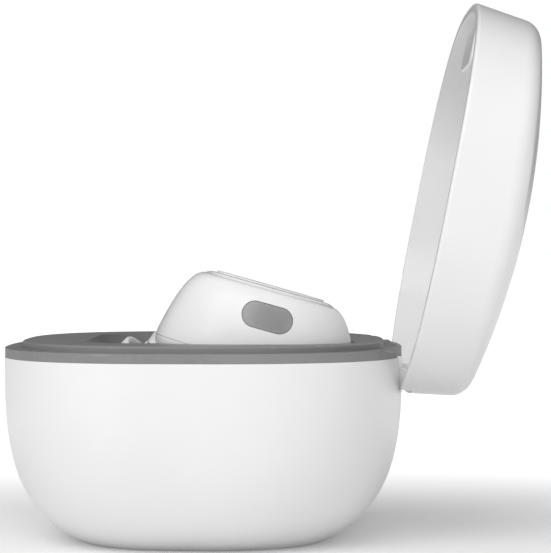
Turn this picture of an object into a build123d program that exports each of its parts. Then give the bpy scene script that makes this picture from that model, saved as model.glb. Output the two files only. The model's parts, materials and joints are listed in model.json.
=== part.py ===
from build123d import *
from math import cos, pi, radians, sin, tan
import os

# A charging case for two wireless earbuds. The lid is modelled shut, where it fits the base,
# and is then swung back to its open stop, which is the rest position of the part.
# Units are millimetres. The origin is the centre of the flat foot, +X is the right side,
# -Y is the front and +Z is up.

# --- driving dimensions -------------------------------------------------------------------
CASE_HALF_WIDTH = 31.0
CASE_HALF_DEPTH = 23.0
OUTLINE_EXPONENT = 2.67

BASE_HEIGHT = 21.0            # foot to the underside of the grey tray ring
BOWL_DEPTH = 23.0             # depth of the full bowl curve, which the foot cuts short
BOWL_EXPONENT = 3.1
SHELL_WALL = 1.4
FLOOR_THICKNESS = 1.5

RING_THICKNESS = 1.05
RING_STEP = 0.06              # the ring is this much inside the bowl's edge
PLATEAU_TOP = 1.8             # above the ring's underside
PLATEAU_INSET = 2.0
PLATEAU_ROUNDING = 0.25
POCKET_WALL = 1.1
BUD_POCKET_DEPTH = 5.4        # below the ring's underside
BUD_POCKET_Y = 5.75
BUD_POCKET_HALF_LENGTH = 11.45
BUD_POCKET_SPARE = 0.25       # extra width beside an earbud, on top of its clearance
TIP_POCKET_DEPTH = 10.3
TIP_POCKET_Y = -6.5
TIP_POCKET_HALF_WIDTH = 18.3
TIP_POCKET_HALF_DEPTH = 6.7
TIP_POCKET_CORNER = 6.0
SEAT_GAP = 0.05               # lid rim above the ring when shut

LID_WALL = 1.1
LID_CEILING = 1.0
LID_DRAFT = 8.0               # degrees
LID_CROWN = 10.75             # height of the dome's middle above the rim
CROWN_RADIUS_ALONG_Y = 82.0
CROWN_RADIUS_ALONG_X = 165.0
LID_CORNER = 2.3
LIP_RADIUS = 0.3              # rounds the outside of the lid's rim
BOSS_HALF_WIDTH = 7.0         # the block in the lid's front that hides a magnet
BOSS_FRONT_Y = -21.0
BOSS_BACK_Y = -15.9
BOSS_RECESS = 0.85            # above the lid's rim
LATCH_MAGNET_SIZE = (9.0, 3.0, 2.2)
LATCH_MAGNET_FRONT_Y = -19.6
LATCH_MAGNET_COVER = 0.8      # plastic under the lid's magnet

OPEN_ANGLE = 101.2
PIN_Y = 20.3
PIN_BELOW_RING = 1.3
PIN_RADIUS = 0.75
PIN_HALF_LENGTH = 13.5
RUNNING_GAP = 0.05
BARREL_RADIUS = 1.9
ARM_INNER_X = 9.3
ARM_OUTER_X = 12.0
ARM_SIDE_GAP = 0.2
SHOULDER_RADIUS = 2.2
SHOULDER_OUTER_X = 19.6
NOTCH_HALF_WIDTH = 12.4
NOTCH_HEIGHT = 1.5

BUD_X = 14.0
BUD_Y = 7.64
BUD_ABOVE_RING = 7.65
BUD_TILT = 15.7               # degrees, nose high
BUD_TOP_HALF_LENGTH = 7.4
BUD_SEAM_HALF_LENGTH = 11.0
BUD_TOP_HALF_WIDTH = 5.4
BUD_SEAM_HALF_WIDTH = 8.0
BUD_SEAM_DEPTH = 8.07
BUD_DEPTH = 11.6
BUD_EXPONENT = 2.15           # of the earbud's outline
BUD_POINTS = 16
BUD_WALL = 0.9
BUD_GAP = 0.35                # clearance around an earbud in its pocket
TOUCH_PLATE_INSET = 0.55
TOUCH_PLATE_RISE = 0.25
TOUCH_PLATE_THICKNESS = 0.7
WINDOW_LENGTH = 5.6
WINDOW_HEIGHT = 2.8

TIP_X = 12.5
TIP_Y = -6.85
TIP_BELOW_RING = 2.3
TIP_RADIUS = 5.0
TIP_LENGTH = 4.6
NOZZLE_DIRECTION = Vector(0.18, -0.79, -0.586).normalized()
NOZZLE_RADIUS = 2.4
NOZZLE_ROOT_RADIUS = 3.8
NOZZLE_BORE = 1.6
NOZZLE_LENGTH = 3.4           # past the ear tip's rim

PIN_OFFSET_X = 2.5            # charge pins, either side of an earbud's middle
PIN_ROW_Y = 6.5
PLUNGER_RADIUS = 0.45
SHOULDER_EXTRA = 0.25         # how much wider a pin's shoulder is than its tip
PIN_TIP_BELOW_RING = 4.4
PIN_BARREL_RADIUS = 1.05
PAD_RADIUS = 0.85
PAD_TOP_BELOW_RING = 3.2
PAD_FACE_BELOW_RING = 4.35

PCB_TOP = 8.7
PCB_THICKNESS = 0.8
POST_RADIUS = 1.6
SCREW_X = 18.5
SCREW_Y = 4.5
SCREW_RADIUS = 0.7
SCREW_REACH = 4.5
SCREW_HEAD_RADIUS = 1.3
SCREW_HEAD_HEIGHT = 0.6
USB_HALF_WIDTH = 4.47
USB_HALF_HEIGHT = 1.63
USB_LENGTH = 7.35
USB_MOUTH_Y = 21.9
USB_WALL = 0.3
USB_BACK_WALL = 0.6
LIGHT_PIPE_RADIUS = 0.8
LIGHT_PIPE_Z = 13.0
SEAT_MAGNET_RADIUS = 2.2
SEAT_MAGNET_HEIGHT = 2.0
SEAT_MAGNET_Y = 10.6

# --- heights worked out from them ---------------------------------------------------------
RING_Z = BASE_HEIGHT
RIM_Z = RING_Z + RING_THICKNESS + SEAT_GAP
PIN_Z = RING_Z - PIN_BELOW_RING
BUD_Z = RING_Z + BUD_ABOVE_RING
TIP_Z = RING_Z - TIP_BELOW_RING
TIP_POCKET_Z = RING_Z - TIP_POCKET_DEPTH
BUD_POCKET_Z = RING_Z - BUD_POCKET_DEPTH
BUD_POCKET_HALF_WIDTH = BUD_SEAM_HALF_WIDTH + BUD_GAP + BUD_POCKET_SPARE
BARREL_TOP = BUD_POCKET_Z - POCKET_WALL
PIN_SHOULDER_Z = BARREL_TOP - 0.9
USB_Z = PCB_TOP + USB_HALF_HEIGHT
PORT_BACK_Y = USB_MOUTH_Y - USB_LENGTH
SCREW_PLACES = [(x, y) for x in (-SCREW_X, SCREW_X) for y in (-SCREW_Y, SCREW_Y)]
HINGE_AXIS = Axis((0, PIN_Y, PIN_Z), (1, 0, 0))


# --- helpers ------------------------------------------------------------------------------
def superellipse(half_x, half_y, z=0.0, exponent=OUTLINE_EXPONENT, shift_y=0.0, points=20):
    """A closed wire in the plane at height z, worked out from the superellipse formula."""
    corners = []
    for i in range(points):
        angle = 2 * pi * i / points
        c, s = cos(angle), sin(angle)
        x = half_x * abs(c) ** (2 / exponent) * (1 if c >= 0 else -1)
        y = half_y * abs(s) ** (2 / exponent) * (1 if s >= 0 else -1)
        corners.append((x, y + shift_y, z))
    return Wire([Edge.make_spline(corners, periodic=True)])


def box_between(low, high):
    """A box given by its lowest and highest corners."""
    size = [b - a for a, b in zip(low, high)]
    middle = [(a + b) / 2 for a, b in zip(low, high)]
    return Pos(*middle) * Box(*size)


def both_sides(shape):
    """The shape and its mirror image across the middle plane, as one group."""
    return Compound(children=list(shape.solids()) + list(mirror(shape, Plane.YZ).solids()))


def rod_x(radius, x_low, x_high, y, z):
    """A cylinder along X."""
    return Pos((x_low + x_high) / 2, y, z) * Rot(0, 90, 0) * Cylinder(radius, x_high - x_low)


def rod_z(radius, z_low, z_high, x, y):
    """A cylinder along Z."""
    return Pos(x, y, (z_low + z_high) / 2) * Cylinder(radius, z_high - z_low)


def bowl(inset, z_low, z_high, sections=9):
    """The base's bowl shape between two heights, inset evenly from the outside."""
    wires = []
    for i in range(sections):
        # heights crowd together near the foot, where the curve turns fastest
        share = sin(pi / 2 * i / (sections - 1))
        z = z_high - (z_high - z_low) * share
        fall = min(max((RING_Z - z) / BOWL_DEPTH, 0.0), 1.0)
        scale = (1 - fall ** BOWL_EXPONENT) ** (1 / BOWL_EXPONENT)
        wires.append(superellipse(CASE_HALF_WIDTH * scale - inset, CASE_HALF_DEPTH * scale - inset, z))
    return Solid.make_loft(wires)


def plate(inset, z_low, z_high):
    """A flat plate with the case's outline, inset evenly."""
    outline = superellipse(CASE_HALF_WIDTH - inset, CASE_HALF_DEPTH - inset, z_low)
    return extrude(Face(outline), amount=z_high - z_low, dir=(0, 0, 1))


def lid_block(inset, crown, corner, z_low=RIM_Z):
    """The solid lid shape, shut: drafted walls under a doubly curved dome."""
    height = 14.0
    lean = tan(radians(LID_DRAFT))
    wires = []
    for z in (z_low, RIM_Z + height):
        shrink = inset + (z - RIM_Z) * lean
        wires.append(superellipse(CASE_HALF_WIDTH - shrink, CASE_HALF_DEPTH - shrink, z))
    walls = Solid.make_loft(wires, ruled=True)
    top_z = RIM_Z + crown
    reach = CASE_HALF_DEPTH + 4
    sag = CROWN_RADIUS_ALONG_Y - (CROWN_RADIUS_ALONG_Y ** 2 - reach ** 2) ** 0.5
    arc = Edge.make_three_point_arc((0, -reach, top_z - sag), (0, 0, top_z), (0, reach, top_z - sag))
    sides = Polyline((0, reach, top_z - sag), (0, reach, z_low - 8), (0, -reach, z_low - 8),
                     (0, -reach, top_z - sag))
    section = Face(Wire([arc] + list(sides.edges())))
    swing = 15.0
    axis = Axis((0, 0, top_z - CROWN_RADIUS_ALONG_X), (0, 1, 0))
    dome = revolve(section.rotate(axis, -swing), axis, 2 * swing)
    block = walls & dome
    rim_of_dome = block.edges().filter_by(lambda e: e.center().Z > RIM_Z + 3)
    return fillet(rim_of_dome, corner)


# --- base ---------------------------------------------------------------------------------
def hinge_slots():
    """The two channels that the lid's arms swing through, open at the top and the back."""
    slot = box_between((ARM_INNER_X - ARM_SIDE_GAP, PIN_Y - 2.0, PIN_Z - 2.4),
                       (ARM_OUTER_X + ARM_SIDE_GAP, PIN_Y + 5.0, RING_Z + 4))
    return both_sides(slot)


def shoulder_cut():
    """What is cut from the back corners so that the lid's rim can roll around the pin."""
    cut = box_between((NOTCH_HALF_WIDTH - 0.2, PIN_Y, PIN_Z - 4.0),
                      (SHOULDER_OUTER_X, PIN_Y + 5.0, RING_Z + 4))
    cut -= rod_x(SHOULDER_RADIUS, 0, SHOULDER_OUTER_X + 1, PIN_Y, PIN_Z)
    below = box_between((0, PIN_Y, PIN_Z - 5.0), (SHOULDER_OUTER_X + 1, PIN_Y + SHOULDER_RADIUS, PIN_Z))
    return both_sides(cut - below)


def usb_block(half_width, half_height, y_low, y_high, z):
    """A block along Y with the rounded oblong section of a USB-C port."""
    profile = SlotOverall(2 * half_width, 2 * half_height)
    return Pos(0, y_low, z) * Rot(-90, 0, 0) * extrude(profile, amount=y_high - y_low)


def base_shell():
    """The white bowl: foot, curved wall, port opening and hinge channels."""
    shell = bowl(0, 0, RING_Z)
    foot_edge = shell.edges().group_by(Axis.Z)[0]
    shell = fillet(foot_edge, 1.2)
    shell -= bowl(SHELL_WALL, FLOOR_THICKNESS, RING_Z)
    shell -= usb_block(USB_HALF_WIDTH + 0.2, USB_HALF_HEIGHT + 0.15, USB_MOUTH_Y - 4, 25, USB_Z)
    shell -= light_pipe_rod(RUNNING_GAP)
    shell -= rod_x(PIN_RADIUS + RUNNING_GAP, -PIN_HALF_LENGTH - 0.2, PIN_HALF_LENGTH + 0.2, PIN_Y, PIN_Z)
    shell -= hinge_slots()
    return shell - shoulder_cut()


def light_pipe_rod(gap):
    """The short rod that carries the light of the charge indicator through the front wall."""
    return Pos(0, -19.5, LIGHT_PIPE_Z) * Rot(90, 0, 0) * Cylinder(LIGHT_PIPE_RADIUS + gap, 8)


def indicator_light_pipe():
    """The light pipe, cut flush with the outside of the bowl."""
    return light_pipe_rod(0) & bowl(0, 0, RING_Z)


def tip_pocket(grow, z_low, z_high):
    """The wide front pocket that both ear tips lie in."""
    outline = RectangleRounded(2 * (TIP_POCKET_HALF_WIDTH + grow), 2 * (TIP_POCKET_HALF_DEPTH + grow),
                               TIP_POCKET_CORNER + grow)
    return Pos(0, TIP_POCKET_Y, z_low) * extrude(outline, amount=z_high - z_low)


def bud_pocket(grow, z_high):
    """One earbud pocket, with straight walls so that the earbud lifts out of it."""
    outline = superellipse(BUD_POCKET_HALF_WIDTH + grow, BUD_POCKET_HALF_LENGTH + grow, BUD_POCKET_Z - grow,
                           BUD_EXPONENT, BUD_POCKET_Y)
    return Pos(BUD_X, 0, 0) * extrude(Face(outline), amount=z_high - BUD_POCKET_Z + grow, dir=(0, 0, 1))


def charge_pin_places():
    """Where the four charge pins stand, as x positions on their common row."""
    return [side * BUD_X + offset for side in (1, -1) for offset in (PIN_OFFSET_X, -PIN_OFFSET_X)]


def tray():
    """The grey tray: outer ring, raised plateau and the pockets under it."""
    body = plate(RING_STEP, RING_Z, RING_Z + RING_THICKNESS)
    plateau = plate(PLATEAU_INSET, RING_Z, RING_Z + PLATEAU_TOP)
    plateau = fillet(plateau.edges().group_by(Axis.Z)[-1], PLATEAU_ROUNDING)
    body += plateau
    body += tip_pocket(POCKET_WALL, TIP_POCKET_Z - POCKET_WALL, RING_Z + 0.5)
    cup = bud_pocket(POCKET_WALL, RING_Z + 0.5)
    body += cup
    body += mirror(cup, Plane.YZ)
    body -= tip_pocket(0, TIP_POCKET_Z, RING_Z + 3)
    hollow = bud_pocket(0, RING_Z + 3)
    body -= hollow
    body -= mirror(hollow, Plane.YZ)
    for x in charge_pin_places():
        body -= rod_z(PLUNGER_RADIUS + 0.1, BUD_POCKET_Z - 2, BUD_POCKET_Z + 1, x, PIN_ROW_Y)
    ledge = box_between((-8.9, PIN_Y - 0.5, RING_Z + 0.4), (8.9, PIN_Y + 1.7, RING_Z + RING_THICKNESS + 0.3))
    body += ledge
    body -= hinge_slots()
    return body - shoulder_cut()


# --- hinge --------------------------------------------------------------------------------
def hinge_bracket():
    """The block that holds the pin: a middle knuckle and two outer cheeks on one bar."""
    bar = box_between((-14.6, 18.5, PIN_Z - 4.4), (14.6, 21.8, PIN_Z - 2.6))
    knuckle = box_between((-9.0, 18.5, PIN_Z - 2.6), (9.0, 21.8, RING_Z))
    cheeks = both_sides(box_between((NOTCH_HALF_WIDTH - 0.1, 18.5, PIN_Z - 2.6),
                                    (14.6, PIN_Y + 1.5, RING_Z)))
    bracket = bar + knuckle + cheeks
    bracket &= bowl(SHELL_WALL + 0.05, 10.0, RING_Z)
    bracket -= rod_x(PIN_RADIUS + RUNNING_GAP, -PIN_HALF_LENGTH - 0.2, PIN_HALF_LENGTH + 0.2, PIN_Y, PIN_Z)
    bracket -= shoulder_cut()
    return bracket


def hinge_pin():
    """The steel pin that the lid turns on, with rounded ends."""
    pin = rod_x(PIN_RADIUS, -PIN_HALF_LENGTH, PIN_HALF_LENGTH, PIN_Y, PIN_Z)
    return fillet(pin.edges().filter_by(GeomType.CIRCLE), 0.2)


def hinge_arms(lid):
    """The two arms under the lid's back wall, each with a barrel around the pin."""
    barrel = rod_x(BARREL_RADIUS, ARM_INNER_X, ARM_OUTER_X, PIN_Y, PIN_Z)
    web = box_between((ARM_INNER_X, PIN_Y - 0.4, PIN_Z), (ARM_OUTER_X, PIN_Y + 1.5, RIM_Z + 4.6))
    arm = barrel + web - rod_x(PIN_RADIUS + RUNNING_GAP, 0, 20, PIN_Y, PIN_Z)
    return both_sides((arm - lid).solids().sort_by(SortBy.VOLUME)[-1])


# --- lid, modelled shut -------------------------------------------------------------------
def lid_notch():
    """The gap in the lid's back rim that clears the hinge block."""
    return box_between((-NOTCH_HALF_WIDTH, PIN_Y - 0.6, RIM_Z - 1),
                       (NOTCH_HALF_WIDTH, PIN_Y + 5.0, RIM_Z + NOTCH_HEIGHT))


def lid_hollow():
    """The space inside the bare lid shell."""
    return lid_block(LID_WALL, LID_CROWN - LID_CEILING, LID_CORNER - 0.9, RIM_Z)


def lid_shell(hollow):
    """The white lid: one thin moulding."""
    outside = lid_block(0, LID_CROWN, LID_CORNER)
    outside = fillet(outside.edges().group_by(Axis.Z)[0], LIP_RADIUS)
    return outside - hollow - lid_notch()


def lid_magnet_holder(lid):
    """The white block inside the lid's front that hides the latch magnet."""
    block = box_between((-BOSS_HALF_WIDTH, BOSS_FRONT_Y, RIM_Z + BOSS_RECESS),
                        (BOSS_HALF_WIDTH, BOSS_BACK_Y, RIM_Z + LID_CROWN))
    upright = block.edges().filter_by(Axis.Z)
    block = fillet(upright, 1.6)
    block = fillet(block.faces().sort_by(Axis.Z)[0].edges(), 0.5)
    block = (block - lid).solids().sort_by(Axis.Z)[0]
    return block - latch_magnet(RUNNING_GAP, RIM_Z + BOSS_RECESS + LATCH_MAGNET_COVER)


def latch_magnet(gap, z_low):
    """A bar magnet at the front of the case."""
    width, depth, height = LATCH_MAGNET_SIZE
    low = (-width / 2 - gap, LATCH_MAGNET_FRONT_Y - gap, z_low - gap)
    return box_between(low, (width / 2 + gap, LATCH_MAGNET_FRONT_Y + depth + gap, z_low + height + gap))


# --- earbuds, modelled on the right and mirrored ------------------------------------------
# An earbud's own frame has its origin at the middle of the touch plate, its length along Y
# and its depth along -Z. This places it in the case.
BUD_PLACE = Pos(BUD_X, BUD_Y, BUD_Z) * Rot(-BUD_TILT, 0, 0)


def bud_scale(depth):
    """How far the body has swelled from its top outline, 0, to its seam outline, 1."""
    left = 1 - depth / BUD_SEAM_DEPTH
    return (1 - left ** 1.8) ** (1 / 1.8)


def upper_body(inset, depth_low, depth_high):
    """The earbud's upper half between two depths, inset evenly."""
    wires = []
    layers = 7
    for i in range(layers):
        depth = depth_low + (depth_high - depth_low) * (i / (layers - 1)) ** 1.6
        swell = bud_scale(depth)
        half_x = BUD_TOP_HALF_WIDTH + (BUD_SEAM_HALF_WIDTH - BUD_TOP_HALF_WIDTH) * swell - inset
        half_y = BUD_TOP_HALF_LENGTH + (BUD_SEAM_HALF_LENGTH - BUD_TOP_HALF_LENGTH) * swell - inset
        forward = 0.25 * sin(pi * depth / BUD_SEAM_DEPTH)
        wires.append(superellipse(half_x, half_y, -depth, BUD_EXPONENT, forward, BUD_POINTS))
    return Solid.make_loft(wires)


def lower_body(inset, depth_high):
    """The earbud's lower half, from the seam to its rounded underside."""
    wires = []
    layers = 6
    for i in range(layers):
        depth = BUD_SEAM_DEPTH + (depth_high - BUD_SEAM_DEPTH) * sin(pi / 2 * i / (layers - 1))
        fall = (depth - BUD_SEAM_DEPTH) / (depth_high + 0.4 - BUD_SEAM_DEPTH)
        scale = (1 - fall ** 2.2) ** (1 / 2.2)
        half_x = BUD_SEAM_HALF_WIDTH * scale - inset
        half_y = BUD_SEAM_HALF_LENGTH * scale - inset
        wires.append(superellipse(half_x, half_y, -depth, BUD_EXPONENT, 0, BUD_POINTS))
    return Solid.make_loft(wires)


def nozzle_place(along):
    """A plane across the nozzle, facing out of it, at a distance from the ear tip's rim."""
    centre = Vector(TIP_X, TIP_Y, TIP_Z) + NOZZLE_DIRECTION * along
    return Plane(origin=centre, x_dir=(0, 0, 1), z_dir=NOZZLE_DIRECTION)


def nozzle_stage(radius_low, radius_high, along_low, along_high):
    """A round stretch of the nozzle, straight or tapered."""
    wires = [Wire.make_circle(radius_low, nozzle_place(along_low)),
             Wire.make_circle(radius_high, nozzle_place(along_high))]
    return Solid.make_loft(wires, ruled=True)


def side_window_prism(gap):
    """The oblong that the side window fills, running out sideways through the wall."""
    profile = SlotOverall(WINDOW_LENGTH + 2 * gap, WINDOW_HEIGHT + 2 * gap)
    prism = Rot(0, 90, 0) * Rot(0, 0, 90) * extrude(profile, amount=12)
    return BUD_PLACE * Pos(3.0, 0.55, -2.9) * prism


def upper_wall():
    """The earbud's whole upper wall, before its window and plate are let into it."""
    return BUD_PLACE * (upper_body(0, 0, BUD_SEAM_DEPTH) - upper_body(BUD_WALL, BUD_WALL, BUD_SEAM_DEPTH))


def outer_housing():
    """The earbud's upper shell with its seat for the touch plate and its window."""
    seat = touch_plate_blank(0.06, -TOUCH_PLATE_THICKNESS + TOUCH_PLATE_RISE, 1.0)
    return upper_wall() - seat - side_window_prism(0.06)


def touch_plate_blank(grow, z_low, z_high):
    """An oval plate on top of the earbud, given in the earbud's own frame."""
    inset = TOUCH_PLATE_INSET - grow
    outline = superellipse(BUD_TOP_HALF_WIDTH - inset, BUD_TOP_HALF_LENGTH - inset, z_low,
                           BUD_EXPONENT, 0, BUD_POINTS)
    return BUD_PLACE * extrude(Face(outline), amount=z_high - z_low, dir=(0, 0, 1))


def touch_plate():
    """The touch-sensitive oval plate."""
    blank = touch_plate_blank(0, TOUCH_PLATE_RISE - TOUCH_PLATE_THICKNESS, TOUCH_PLATE_RISE)
    top = blank.faces().sort_by(Axis.Z)[-1]
    return fillet(top.edges(), 0.15)


def side_window():
    """The dark window in the earbud's side, flush with the shell."""
    return upper_wall() & side_window_prism(0)


def charge_pads():
    """The two contact pads under the earbud."""
    low = RING_Z - PAD_FACE_BELOW_RING
    high = RING_Z - PAD_TOP_BELOW_RING
    pads = [rod_z(PAD_RADIUS, low, high, BUD_X + offset, PIN_ROW_Y)
            for offset in (PIN_OFFSET_X, -PIN_OFFSET_X)]
    return Compound(children=[pad.solid() for pad in pads])


def inner_housing():
    """The earbud's lower shell with its nozzle, which the ear tip pushes onto."""
    seam = 0.04
    body = BUD_PLACE * (Pos(0, 0, -seam) * lower_body(0, BUD_DEPTH))
    hollow = BUD_PLACE * (Pos(0, 0, -seam) * lower_body(BUD_WALL, BUD_DEPTH - BUD_WALL))
    trim = BUD_PLACE * box_between((-12, -16, -BUD_SEAM_DEPTH - seam), (12, 16, 12))
    neck = nozzle_stage(NOZZLE_ROOT_RADIUS + 0.8, NOZZLE_RADIUS + 0.5, -8.0, -3.0)
    tube = nozzle_stage(NOZZLE_RADIUS, NOZZLE_RADIUS, -4.0, NOZZLE_LENGTH)
    shell = (body + neck + tube) - trim - hollow
    shell -= nozzle_stage(NOZZLE_BORE, NOZZLE_BORE, -9.0, 4.0)
    for offset in (PIN_OFFSET_X, -PIN_OFFSET_X):
        shell -= rod_z(PAD_RADIUS, RING_Z - 5, RING_Z - PAD_TOP_BELOW_RING, BUD_X + offset, PIN_ROW_Y)
    return shell.solids().sort_by(SortBy.VOLUME)[-1]


def ear_tip():
    """The soft silicone tip: a sleeve on the nozzle and a thin domed skirt around it."""
    sleeve = NOZZLE_RADIUS + RUNNING_GAP
    outside = sleeve + 0.7
    mouth = NOZZLE_BORE + 0.2
    skirt = 0.6
    crown = 2.9
    # the outline is in the plane of radius, X, and distance along the nozzle, Z
    dome = Edge.make_three_point_arc((TIP_RADIUS, 0, 0), (TIP_RADIUS * 0.87, 0, TIP_LENGTH * 0.66),
                                     (crown, 0, TIP_LENGTH))
    under = Edge.make_three_point_arc((outside, 0, 3.6), (TIP_RADIUS * 0.87 - 0.75, 0, TIP_LENGTH * 0.52),
                                      (TIP_RADIUS - skirt, 0, 0))
    front = Polyline((crown, 0, TIP_LENGTH), (mouth, 0, TIP_LENGTH), (mouth, 0, 3.6), (sleeve, 0, 3.6),
                     (sleeve, 0, -2.4), (outside, 0, -2.4), (outside, 0, 3.6))
    rim = Edge.make_line((TIP_RADIUS - skirt, 0, 0), (TIP_RADIUS, 0, 0))
    outline = Face(Wire([dome] + list(front.edges()) + [under, rim]))
    tip = revolve(outline, Axis.Z)
    return nozzle_place(0).location * tip


def nozzle_mesh():
    """The wire mesh disc in the mouth of the nozzle."""
    return nozzle_stage(NOZZLE_BORE, NOZZLE_BORE, NOZZLE_LENGTH - 0.5, NOZZLE_LENGTH - 0.1)


def speaker_driver():
    """The moving-coil driver behind the nozzle."""
    return nozzle_stage(2.1, 2.1, -9.6, -8.2)


def coin_cell():
    """The earbud's rechargeable button cell."""
    cell = BUD_PLACE * Pos(0, 3.0, -6.5) * Cylinder(4.5, 4.0)
    return fillet(cell.edges().filter_by(GeomType.CIRCLE), 0.4)


def bud_pcb():
    """The earbud's round-ended circuit board under the touch plate."""
    outline = superellipse(4.7, 7.0, -2.5, BUD_EXPONENT, 0, BUD_POINTS)
    return BUD_PLACE * extrude(Face(outline), amount=PCB_THICKNESS, dir=(0, 0, 1))


def bud_magnet():
    """The magnet that pulls the earbud into its pocket."""
    return BUD_PLACE * Pos(0, 4.4, -9.3) * Cylinder(1.6, 1.2)


EARBUD_PIECES = {
    "outer_housing": outer_housing,
    "inner_housing": inner_housing,
    "touch_plate": touch_plate,
    "side_window": side_window,
    "ear_tip": ear_tip,
    "nozzle_mesh": nozzle_mesh,
    "charge_pads": charge_pads,
    "coin_cell": coin_cell,
    "circuit_board": bud_pcb,
    "speaker_driver": speaker_driver,
    "seat_magnet": bud_magnet,
}


# --- inside the base ----------------------------------------------------------------------
def battery():
    """The flat lithium pouch on the floor of the bowl."""
    pouch = box_between((-16, -12, 1.6), (16, 10, 6.8))
    return fillet(pouch.edges(), 0.9)


def main_board():
    """The main circuit board, held above the battery on four posts."""
    outline = superellipse(25.0, 17.6, PCB_TOP - PCB_THICKNESS)
    board = extrude(Face(outline), amount=PCB_THICKNESS, dir=(0, 0, 1))
    for x, y in SCREW_PLACES:
        board -= rod_z(SCREW_RADIUS + 0.1, 0, BASE_HEIGHT, x, y)
    return board


def board_posts():
    """The four posts that stand on the bowl's floor and carry the board."""
    foot = FLOOR_THICKNESS - 0.5
    top = PCB_TOP - PCB_THICKNESS
    return [rod_z(POST_RADIUS, foot, top, x, y) - rod_z(SCREW_RADIUS, PCB_TOP - SCREW_REACH, top + 1, x, y)
            for x, y in SCREW_PLACES]


def board_screws():
    """The four screws that hold the board to its posts."""
    screws = []
    for x, y in SCREW_PLACES:
        shank = rod_z(SCREW_RADIUS, PCB_TOP - SCREW_REACH, PCB_TOP, x, y)
        head = rod_z(SCREW_HEAD_RADIUS, PCB_TOP, PCB_TOP + SCREW_HEAD_HEIGHT, x, y)
        screws.append((shank + head).solid())
    return Compound(children=screws)


def board_chips():
    """The charge controller, regulator and inductors on the main board."""
    chips = []
    for x, y, size_x, size_y, height in ((-19.5, 1.0, 4, 4, 0.7), (19.5, -1.0, 3, 3, 0.7),
                                         (20.0, 2.0, 2, 1.2, 0.6), (-8.5, 15.0, 2.5, 2.5, 1.2),
                                         (8.5, 15.0, 2, 2, 1.2)):
        chips.append(box_between((x - size_x / 2, y - size_y / 2, PCB_TOP),
                                 (x + size_x / 2, y + size_y / 2, PCB_TOP + height)))
    return Compound(children=[chip.solid() for chip in chips])


def usb_socket():
    """The steel shell of the USB-C socket."""
    shell = usb_block(USB_HALF_WIDTH, USB_HALF_HEIGHT, PORT_BACK_Y, USB_MOUTH_Y, USB_Z)
    inside = usb_block(USB_HALF_WIDTH - USB_WALL, USB_HALF_HEIGHT - USB_WALL, PORT_BACK_Y + USB_BACK_WALL,
                       USB_MOUTH_Y + 1, USB_Z)
    return shell - inside


def usb_tongue():
    """The contact tongue inside the socket."""
    half_width, half_height = 3.35, 0.35
    return box_between((-half_width, PORT_BACK_Y + USB_BACK_WALL, USB_Z - half_height),
                       (half_width, USB_MOUTH_Y - 0.9, USB_Z + half_height))


def pin_barrels():
    """The four barrels that the charge pins slide in, standing on the main board."""
    barrels = []
    tip_bore = PLUNGER_RADIUS + RUNNING_GAP
    for x in charge_pin_places():
        barrel = rod_z(PIN_BARREL_RADIUS, PCB_TOP, BARREL_TOP, x, PIN_ROW_Y)
        barrel -= rod_z(tip_bore, PCB_TOP + 1, BARREL_TOP + 1, x, PIN_ROW_Y)
        barrel -= rod_z(tip_bore + SHOULDER_EXTRA, PCB_TOP + 0.6, PIN_SHOULDER_Z + 0.1, x, PIN_ROW_Y)
        barrels.append(barrel.solid())
    return Compound(children=barrels)


def charge_pin(x):
    """One gilt charge pin: a thin tip above a wider shoulder that keeps it in its barrel."""
    tip = rod_z(PLUNGER_RADIUS, PIN_SHOULDER_Z - 0.5, RING_Z - PIN_TIP_BELOW_RING, x, PIN_ROW_Y)
    tip = fillet(tip.edges().group_by(Axis.Z)[-1], 0.15)
    shoulder = rod_z(PLUNGER_RADIUS + SHOULDER_EXTRA, PIN_SHOULDER_Z - 1.6, PIN_SHOULDER_Z, x, PIN_ROW_Y)
    return tip + shoulder


def seat_magnets():
    """The two magnets under the earbud pockets."""
    top = BARREL_TOP - 0.1
    return both_sides(rod_z(SEAT_MAGNET_RADIUS, top - SEAT_MAGNET_HEIGHT, top, BUD_X, SEAT_MAGNET_Y))


def base_latch_magnet():
    """The magnet under the front of the ring, which holds the lid shut."""
    return latch_magnet(0, RING_Z - 2.4)


# --- writing the nodes --------------------------------------------------------------------
def write(name, shape):
    """Write one node; a shape of several pieces stays a group of separate solids."""
    solids = shape.solids()
    shape = solids[0] if len(solids) == 1 else Compound(children=list(solids))
    export_step(shape, f"parts/{name}.step")


def main():
    os.makedirs("parts", exist_ok=True)
    shell = base_shell()
    for post in board_posts():
        shell += post
    write("base_shell", shell)
    write("tray", tray())
    write("hinge_bracket", hinge_bracket())
    write("hinge_pin", hinge_pin())
    write("battery", battery())
    write("main_board", main_board())
    write("board_screws", board_screws())
    write("board_chips", board_chips())
    write("usb_socket", usb_socket())
    write("usb_tongue", usb_tongue())
    write("indicator_light_pipe", indicator_light_pipe())
    write("pin_barrels", pin_barrels())
    write("seat_magnets", seat_magnets())
    write("base_latch_magnet", base_latch_magnet())
    for name, x in zip(("right_outer", "right_inner", "left_inner", "left_outer"),
                       sorted(charge_pin_places(), reverse=True)):
        write(f"charge_pin_{name}", charge_pin(x))

    lid = lid_shell(lid_hollow())
    closed = {
        "lid_shell": lid,
        "lid_magnet_holder": lid_magnet_holder(lid),
        "lid_magnet": latch_magnet(0, RIM_Z + BOSS_RECESS + LATCH_MAGNET_COVER),
        "hinge_arms": hinge_arms(lid),
    }
    for name, shape in closed.items():
        write(name, shape.rotate(HINGE_AXIS, -OPEN_ANGLE))

    for name, make in EARBUD_PIECES.items():
        piece = make()
        write(f"right_{name}", piece)
        write(f"left_{name}", mirror(piece, Plane.YZ))


main()
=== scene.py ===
import json
import math

import bmesh
import bpy
from mathutils import Matrix, Vector


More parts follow.
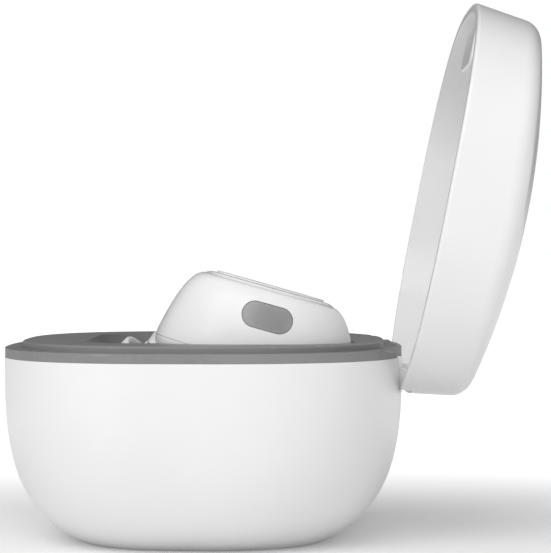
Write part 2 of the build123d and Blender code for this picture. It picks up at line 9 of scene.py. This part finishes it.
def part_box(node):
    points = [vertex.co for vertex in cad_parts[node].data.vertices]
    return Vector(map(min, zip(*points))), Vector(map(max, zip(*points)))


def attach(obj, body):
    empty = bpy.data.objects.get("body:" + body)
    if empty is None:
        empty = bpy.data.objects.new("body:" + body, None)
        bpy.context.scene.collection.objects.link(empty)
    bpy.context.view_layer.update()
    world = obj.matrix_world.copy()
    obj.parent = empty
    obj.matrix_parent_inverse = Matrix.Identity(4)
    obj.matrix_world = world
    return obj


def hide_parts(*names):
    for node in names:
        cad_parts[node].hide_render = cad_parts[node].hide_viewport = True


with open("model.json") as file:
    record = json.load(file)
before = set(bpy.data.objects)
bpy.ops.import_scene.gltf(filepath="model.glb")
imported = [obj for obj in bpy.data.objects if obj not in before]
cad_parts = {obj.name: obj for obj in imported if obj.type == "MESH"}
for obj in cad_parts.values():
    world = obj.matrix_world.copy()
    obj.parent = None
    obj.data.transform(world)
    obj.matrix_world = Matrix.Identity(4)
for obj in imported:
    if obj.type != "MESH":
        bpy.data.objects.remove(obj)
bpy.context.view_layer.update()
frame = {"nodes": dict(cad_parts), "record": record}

# A charging case for two wireless earbuds, standing open. Metres, in the frame of the CAD model.
MM = 0.001
case_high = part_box("base_shell")[1]
HALF_WIDTH = case_high.x
HALF_DEPTH = case_high.y
RING_Z = case_high.z

# --- camera -------------------------------------------------------------------------------
# The case is seen square on from its right side, from a little above the tray, close enough
# that the near wall of the lid is plainly larger than the far one.
CAMERA_DISTANCE = 9.18 * HALF_WIDTH
CAMERA_Y = 0.36 * HALF_DEPTH
CAMERA_ABOVE_RING = 10.8 * MM
CAMERA_LENS = 157.7
CAMERA_PITCH = math.radians(0.35)


def make_camera():
    """The camera, looking square at the right side of the case."""
    data = bpy.data.cameras.new("camera")
    data.lens = CAMERA_LENS
    data.sensor_width = 36
    data.clip_start = 0.01
    camera = bpy.data.objects.new("camera", data)
    camera.location = (CAMERA_DISTANCE, CAMERA_Y, RING_Z + CAMERA_ABOVE_RING)
    camera.rotation_euler = (math.pi / 2 - CAMERA_PITCH, 0, math.pi / 2)
    bpy.context.scene.collection.objects.link(camera)
    bpy.context.scene.camera = camera


# --- lights, floor ------------------------------------------------------------------------
def area_light(name, place, target, width, height, power):
    """A rectangular light at a place, turned towards the target."""
    data = bpy.data.lights.new(name, "AREA")
    data.shape = "RECTANGLE"
    data.size = width
    data.size_y = height
    data.energy = power
    light = bpy.data.objects.new(name, data)
    light.location = place
    light.rotation_euler = (Vector(target) - Vector(place)).to_track_quat("-Z", "Y").to_euler()
    bpy.context.scene.collection.objects.link(light)


KEY_PLACE = (0.40, -0.16, 0.38)
KEY_WIDTH = 0.45
KEY_HEIGHT = 0.35
KEY_POWER = 0.85
LIGHT_FROM = (0.78, -0.14, 0.61)   # where the soft light is brightest
AMBIENT_BRIGHT = 0.92
AMBIENT_DIM = 0.0
# The floor's painted glow: low near the case (painted shade), high further out.
FLOOR_GLOW_NEAR = 0.12
FLOOR_GLOW_FAR = 0.62
FLOOR_GLOW_START = 0.03
FLOOR_GLOW_END = 0.13
FLOOR_SPILL = 0.45                 # share of the glow that lights the case


def make_world():
    """Soft white surroundings, brightest to the right of the case and above it."""
    world = bpy.data.worlds.new("studio")
    world.use_nodes = True
    tree = world.node_tree
    direction = tree.nodes.new("ShaderNodeTexCoord")
    facing = tree.nodes.new("ShaderNodeVectorMath")
    facing.operation = "DOT_PRODUCT"
    facing.inputs[1].default_value = LIGHT_FROM
    tree.links.new(direction.outputs["Generated"], facing.inputs[0])
    across = tree.nodes.new("ShaderNodeMapRange")
    across.interpolation_type = "SMOOTHSTEP"
    across.inputs["From Min"].default_value = -0.6
    across.inputs["From Max"].default_value = 1.0
    across.inputs["To Min"].default_value = AMBIENT_DIM
    across.inputs["To Max"].default_value = AMBIENT_BRIGHT
    tree.links.new(facing.outputs["Value"], across.inputs["Value"])
    path = tree.nodes.new("ShaderNodeLightPath")
    seen = tree.nodes.new("ShaderNodeMix")
    seen.inputs["B"].default_value = 1.0
    tree.links.new(path.outputs["Is Camera Ray"], seen.inputs["Factor"])
    tree.links.new(across.outputs["Result"], seen.inputs["A"])
    sky = tree.nodes["Background"]
    sky.inputs["Color"].default_value = (1.0, 1.0, 1.0, 1)
    tree.links.new(seen.outputs["Result"], sky.inputs["Strength"])
    bpy.context.scene.world = world


def make_studio():
    """One large soft light and the pale surroundings."""
    area_light("key", KEY_PLACE, (0, 0, RING_Z), KEY_WIDTH, KEY_HEIGHT, KEY_POWER)
    make_world()
    bpy.context.scene.view_settings.view_transform = "Standard"


def make_floor():
    """A plain pale floor with a painted glow that rises away from the case, so it is a little darker under
    the case than further out: real shadow there, plus painted shade where the glow is low.
    """
    bpy.ops.mesh.primitive_plane_add(size=12.0, location=(0, 0, 0))
    floor = bpy.context.object
    floor.name = "studio_floor"
    tree = new_material("studio_floor_paint")
    grain = noise(tree, 30.0, 3.0)
    tone = ramp(tree, grain, (0.3, 0.7), ((0.90, 0.90, 0.90), (0.92, 0.92, 0.92)))
    shader = tree.nodes["Principled BSDF"]
    tree.links.new(tone, shader.inputs["Base Color"])
    shader.inputs["Roughness"].default_value = 0.9
    shader.inputs["Specular IOR Level"].default_value = 0.1
    shader.inputs["Emission Color"].default_value = (1, 1, 1, 1)
    # Painted glow set by distance from the case: low under it as painted shade, bright further out.
    distance = tree.nodes.new("ShaderNodeVectorMath")
    distance.operation = "LENGTH"
    tree.links.new(object_position(tree), distance.inputs[0])
    fade = tree.nodes.new("ShaderNodeMapRange")
    fade.interpolation_type = "SMOOTHSTEP"
    fade.inputs["From Min"].default_value = FLOOR_GLOW_START
    fade.inputs["From Max"].default_value = FLOOR_GLOW_END
    fade.inputs["To Min"].default_value = FLOOR_GLOW_NEAR
    fade.inputs["To Max"].default_value = FLOOR_GLOW_FAR
    tree.links.new(distance.outputs["Value"], fade.inputs["Value"])
    path = tree.nodes.new("ShaderNodeLightPath")
    spill = tree.nodes.new("ShaderNodeMapRange")
    spill.inputs["To Min"].default_value = FLOOR_SPILL
    tree.links.new(path.outputs["Is Camera Ray"], spill.inputs["Value"])
    glow = tree.nodes.new("ShaderNodeMath")
    glow.operation = "MULTIPLY"
    tree.links.new(fade.outputs["Result"], glow.inputs[0])
    tree.links.new(spill.outputs["Result"], glow.inputs[1])
    tree.links.new(glow.outputs["Value"], shader.inputs["Emission Strength"])
    floor.data.materials.append(tree_material(tree))


# --- material helpers ---------------------------------------------------------------------
def new_material(name):
    """An empty node material; its node tree is returned."""
    material = bpy.data.materials.new(name)
    material.use_nodes = True
    return material.node_tree


def tree_material(tree):
    """The material that a node tree belongs to."""
    return next(m for m in bpy.data.materials if m.node_tree == tree)


def object_position(tree):
    """The place on the object, from one shared texture coordinate node."""
    if "Texture Coordinate" not in tree.nodes:
        tree.nodes.new("ShaderNodeTexCoord")
    return tree.nodes["Texture Coordinate"].outputs["Object"]


def noise(tree, scale, detail=2.0):
    """A noise value over the object, at a scale in cycles per metre."""
    node = tree.nodes.new("ShaderNodeTexNoise")
    node.inputs["Scale"].default_value = scale
    node.inputs["Detail"].default_value = detail
    tree.links.new(object_position(tree), node.inputs["Vector"])
    return node.outputs["Fac"]


def ramp(tree, value, stops, colours):
    """A colour that runs between two colours as the value runs between two stops."""
    node = tree.nodes.new("ShaderNodeValToRGB")
    for element, stop, colour in zip(node.color_ramp.elements, stops, colours):
        element.position = stop
        element.color = (*colour, 1)
    tree.links.new(value, node.inputs["Fac"])
    return node.outputs["Color"]


def between(tree, value, low, high):
    """Maps a value of about 0.3 to 0.7 to the range low to high."""
    node = tree.nodes.new("ShaderNodeMapRange")
    node.inputs["From Min"].default_value = 0.3
    node.inputs["From Max"].default_value = 0.7
    node.inputs["To Min"].default_value = low
    node.inputs["To Max"].default_value = high
    tree.links.new(value, node.inputs["Value"])
    return node.outputs["Result"]


def bump(tree, height, distance, strength):
    """A fine relief whose depth is given in metres."""
    node = tree.nodes.new("ShaderNodeBump")
    node.inputs["Distance"].default_value = distance
    node.inputs["Strength"].default_value = strength
    tree.links.new(height, node.inputs["Height"])
    return node.outputs["Normal"]


def moulded_plastic(name, dark, light, rough, grain_scale, grain_depth, coat=0.0, metallic=0.0,
                    subsurface=0.0, edge_lightening=0.05):
    """A moulded surface: cloudy colour, uneven gloss, fine grain and its sharp convex edges mixed a little
    towards white.
    """
    tree = new_material(name)
    shader = tree.nodes["Principled BSDF"]
    clouds = noise(tree, 60.0, 4.0)
    colour = ramp(tree, clouds, (0.3, 0.7), (dark, light))
    # Where the surface is sharply convex, the colour is mixed a little towards white.
    geometry = tree.nodes.new("ShaderNodeNewGeometry")
    edge = tree.nodes.new("ShaderNodeMapRange")
    edge.inputs["From Min"].default_value = 0.52
    edge.inputs["From Max"].default_value = 0.60
    edge.inputs["To Max"].default_value = edge_lightening
    tree.links.new(geometry.outputs["Pointiness"], edge.inputs["Value"])
    edge_lightened_colour = tree.nodes.new("ShaderNodeMix")
    edge_lightened_colour.data_type = "RGBA"
    edge_lightened_colour.inputs["B"].default_value = (1, 1, 1, 1)
    tree.links.new(edge.outputs["Result"], edge_lightened_colour.inputs["Factor"])
    tree.links.new(colour, edge_lightened_colour.inputs["A"])
    tree.links.new(edge_lightened_colour.outputs["Result"], shader.inputs["Base Color"])
    smudges = noise(tree, 140.0, 5.0)
    tree.links.new(between(tree, smudges, rough[0], rough[1]), shader.inputs["Roughness"])
    grain = noise(tree, grain_scale, 2.0)
    tree.links.new(bump(tree, grain, grain_depth, 0.35), shader.inputs["Normal"])
    shader.inputs["Coat Weight"].default_value = coat
    shader.inputs["Coat Roughness"].default_value = 0.12
    shader.inputs["Metallic"].default_value = metallic
    if subsurface:
        shader.inputs["Subsurface Weight"].default_value = subsurface
        shader.inputs["Subsurface Radius"].default_value = (1.0, 0.95, 0.9)
        shader.inputs["Subsurface Scale"].default_value = 1.2 * MM
    return tree_material(tree)


def make_materials():
    """One procedural material for each material slot of the record."""
    return {
        "white_gloss_plastic": moulded_plastic(
            "white_gloss_plastic", (0.84, 0.84, 0.84), (0.88, 0.88, 0.88), (0.28, 0.36), 5200.0, 0.02 * MM,
            coat=0.25),
        "white_satin_plastic": moulded_plastic(
            "white_satin_plastic", (0.82, 0.82, 0.82), (0.86, 0.86, 0.86), (0.34, 0.44), 7000.0, 0.03 * MM),
        "grey_matte_plastic": moulded_plastic(
            "grey_matte_plastic", (0.215, 0.215, 0.22), (0.25, 0.25, 0.255), (0.46, 0.58), 3600.0, 0.06 * MM),
        "grey_window": moulded_plastic(
            "grey_window", (0.25, 0.25, 0.255), (0.28, 0.28, 0.285), (0.22, 0.32), 6000.0, 0.01 * MM,
            coat=0.4),
        "white_silicone": moulded_plastic(
            "white_silicone", (0.80, 0.80, 0.79), (0.85, 0.85, 0.84), (0.42, 0.56), 2600.0, 0.03 * MM,
            subsurface=0.25),
        "steel": moulded_plastic(
            "steel", (0.55, 0.55, 0.57), (0.68, 0.68, 0.70), (0.22, 0.38), 4200.0, 0.02 * MM, metallic=1.0),
        "steel_mesh": moulded_plastic(
            "steel_mesh", (0.30, 0.30, 0.31), (0.50, 0.50, 0.51), (0.3, 0.45), 4200.0, 0.02 * MM,
            metallic=1.0),
        "gilt_contact": moulded_plastic(
            "gilt_contact", (0.78, 0.56, 0.22), (0.90, 0.68, 0.30), (0.16, 0.30), 5200.0, 0.01 * MM,
            metallic=1.0),
        "battery_wrap": moulded_plastic(
            "battery_wrap", (0.50, 0.52, 0.56), (0.62, 0.64, 0.68), (0.35, 0.5), 900.0, 0.10 * MM),
        "circuit_board": moulded_plastic(
            "circuit_board", (0.02, 0.14, 0.06), (0.03, 0.22, 0.10), (0.25, 0.4), 2200.0, 0.05 * MM),
        "black_plastic": moulded_plastic(
            "black_plastic", (0.02, 0.02, 0.02), (0.04, 0.04, 0.04), (0.35, 0.5), 3000.0, 0.04 * MM),
        "magnet": moulded_plastic(
            "magnet", (0.60, 0.60, 0.62), (0.72, 0.72, 0.74), (0.15, 0.28), 3000.0, 0.01 * MM, metallic=1.0),
        "clear_lens": moulded_plastic(
            "clear_lens", (0.80, 0.82, 0.82), (0.90, 0.92, 0.92), (0.10, 0.2), 3000.0, 0.01 * MM, coat=0.6),
    }


def dress_nodes(materials):
    """Gives every CAD node the material of its slot."""
    slot_of = {entry["node"]: entry["material_slot"] for entry in frame["record"]["subparts"]}
    for node, thing in frame["nodes"].items():
        thing.data.materials.clear()
        thing.data.materials.append(materials[slot_of[node]])


# --- detail pieces ------------------------------------------------------------------------
# Lengths along a nozzle are measured from the ear tip's open rim. The nozzle's mesh disc is
# centred this far along it.
DISC_ALONG = 3.1 * MM
TIP_STEPS = 72
WIRE_PITCH = 0.28 * MM
WIRE_RADIUS = 0.06 * MM
WIRE_SIDES = 6
GUARD_RADIUS = 1.52 * MM
CONTACTS = 12
CONTACT_PROUD = 0.02 * MM
CONTACT_SETBACK = 0.3 * MM
SHORT_CONTACT = 0.72              # share of the tongue's length
LONG_CONTACT = 0.82


def nozzle_line(side):
    """The centre of a nozzle's mesh disc and the direction out of the nozzle."""
    low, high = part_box(f"{side}_nozzle_mesh")
    disc = frame["nodes"][f"{side}_nozzle_mesh"].data
    cap = max(disc.polygons, key=lambda face: face.area)
    out = cap.normal.normalized()
    if out.y > 0:
        out = -out
    return (Vector(low) + Vector(high)) / 2, out


def across(direction):
    """Two directions square to the given one and to each other."""
    first = direction.cross(Vector((0, 0, 1))).normalized()
    return first, direction.cross(first)


def make_piece(name, points, faces, material):
    """A smooth object made of the given points and faces."""
    mesh = bpy.data.meshes.new(name)
    mesh.from_pydata(points, [], faces)
    cleaner = bmesh.new()
    cleaner.from_mesh(mesh)
    bmesh.ops.recalc_face_normals(cleaner, faces=cleaner.faces)
    cleaner.to_mesh(mesh)
    cleaner.free()
    for face in mesh.polygons:
        face.use_smooth = True
    mesh.materials.append(material)
    piece = bpy.data.objects.new(name, mesh)
    bpy.context.scene.collection.objects.link(piece)
    return piece


def arc_points(start, end, swell, count):
    """Points on a bulging line from start to end, both given as (radius, distance along)."""
    points = []
    for i in range(count):
        share = i / (count - 1)
        bulge = swell * math.sin(math.pi * share)
        points.append((start[0] + (end[0] - start[0]) * share + bulge,
                       start[1] + (end[1] - start[1]) * share + bulge))
    return points


def ear_tip_profile():
    """The closed outline of a silicone tip: domed skirt, rolled mouth and inner sleeve."""
    skirt = arc_points((4.93, 0.30), (3.05, 4.42), 0.42, 14)
    mouth = [(2.80, 4.54), (2.45, 4.58), (2.10, 4.54), (1.90, 4.40), (1.84, 4.10), (1.84, 3.72)]
    sleeve = [(2.05, 3.64), (2.48, 3.60), (2.49, 1.0), (2.49, -2.20), (2.60, -2.36), (2.95, -2.36),
              (3.08, -2.20), (3.10, 1.0)]
    under = arc_points((3.14, 3.30), (4.42, 0.30), 0.26, 10)
    rim = [(4.50, 0.10), (4.68, 0.03), (4.86, 0.10)]
    return skirt + mouth + sleeve + under + rim


def ear_tip(side, material):
    """The soft tip, turned about the nozzle's line."""
    disc, out = nozzle_line(side)
    first, second = across(out)
    profile = ear_tip_profile()
    points, faces = [], []
    for step in range(TIP_STEPS):
        angle = 2 * math.pi * step / TIP_STEPS
        spoke = first * math.cos(angle) + second * math.sin(angle)
        for radius, along in profile:
            points.append(disc + out * (along * MM - DISC_ALONG) + spoke * (radius * MM))
    count = len(profile)
    for step in range(TIP_STEPS):
        here, after = step * count, (step + 1) % TIP_STEPS * count
        for i in range(count):
            j = (i + 1) % count
            faces.append((here + i, here + j, after + j, after + i))
    tip = make_piece(f"{side}_silicone_tip", points, faces, material)
    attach(tip, f"{side}_earbud")
    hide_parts(f"{side}_ear_tip")


def wire(start, along, lift, length, phase, points, faces):
    """Adds one wavy wire of the weave to the lists."""
    stretches = max(4, round(length / WIRE_PITCH * 4))
    side = along.cross(lift)
    base = len(points)
    for i in range(stretches + 1):
        reach = length * i / stretches
        wave = WIRE_RADIUS * math.cos(math.pi * (reach - length / 2) / WIRE_PITCH + phase)
        middle = start + along * reach + lift * wave
        for k in range(WIRE_SIDES):
            angle = 2 * math.pi * k / WIRE_SIDES
            points.append(middle + (side * math.cos(angle) + lift * math.sin(angle)) * WIRE_RADIUS)
    for i in range(stretches):
        for k in range(WIRE_SIDES):
            a, b = base + i * WIRE_SIDES + k, base + i * WIRE_SIDES + (k + 1) % WIRE_SIDES
            faces.append((a, b, b + WIRE_SIDES, a + WIRE_SIDES))
    faces.append(tuple(base + k for k in range(WIRE_SIDES)))
    faces.append(tuple(base + stretches * WIRE_SIDES + k for k in range(WIRE_SIDES)))


def woven_disc(side, material):
    """The nozzle's wax guard: a disc of woven wire."""
    disc, out = nozzle_line(side)
    directions = across(out)
    rows = int(GUARD_RADIUS / WIRE_PITCH)
    points, faces = [], []
    for turn in (0, 1):
        along, over = directions[turn], directions[1 - turn]
        for row in range(-rows, rows + 1):
            offset = row * WIRE_PITCH
            half = math.sqrt(GUARD_RADIUS ** 2 - offset ** 2)
            phase = math.pi * (row + turn)
            wire(disc + over * offset - along * half, along, out, 2 * half, phase, points, faces)
    mesh = make_piece(f"{side}_woven_guard", points, faces, material)
    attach(mesh, f"{side}_earbud")
    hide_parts(f"{side}_nozzle_mesh")


def port_contacts(material):
    """The gilt strips on both faces of the port's tongue."""
    low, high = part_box("usb_tongue")
    strip_width = (high.x - low.x) / (2 * CONTACTS + 1)
    mesh = bmesh.new()
    for face_z in (low.z, high.z):
        for i in range(CONTACTS):
            centre_x = low.x + strip_width * (2 * i + 1.5)
            length = (high.y - low.y) * (SHORT_CONTACT if i % 3 else LONG_CONTACT)
            place = Matrix.Translation((centre_x, high.y - length / 2 - CONTACT_SETBACK, face_z))
            size = Matrix.Diagonal((strip_width, length, 2 * CONTACT_PROUD, 1))
            bmesh.ops.create_cube(mesh, size=1, matrix=place @ size)
    bmesh.ops.bevel(mesh, geom=mesh.edges[:], offset=CONTACT_PROUD / 3, segments=1, affect="EDGES")
    data = bpy.data.meshes.new("port_contacts")
    mesh.to_mesh(data)
    mesh.free()
    data.materials.append(material)
    strips = bpy.data.objects.new("port_contacts", data)
    bpy.context.scene.collection.objects.link(strips)
    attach(strips, "base")


def make_details(materials):
    """The pieces that are finer than the CAD model."""
    for side in ("right", "left"):
        ear_tip(side, materials["white_silicone"])
        woven_disc(side, materials["steel_mesh"])
    port_contacts(materials["gilt_contact"])


make_camera()
make_studio()
make_floor()
slot_materials = make_materials()
dress_nodes(slot_materials)
make_details(slot_materials)
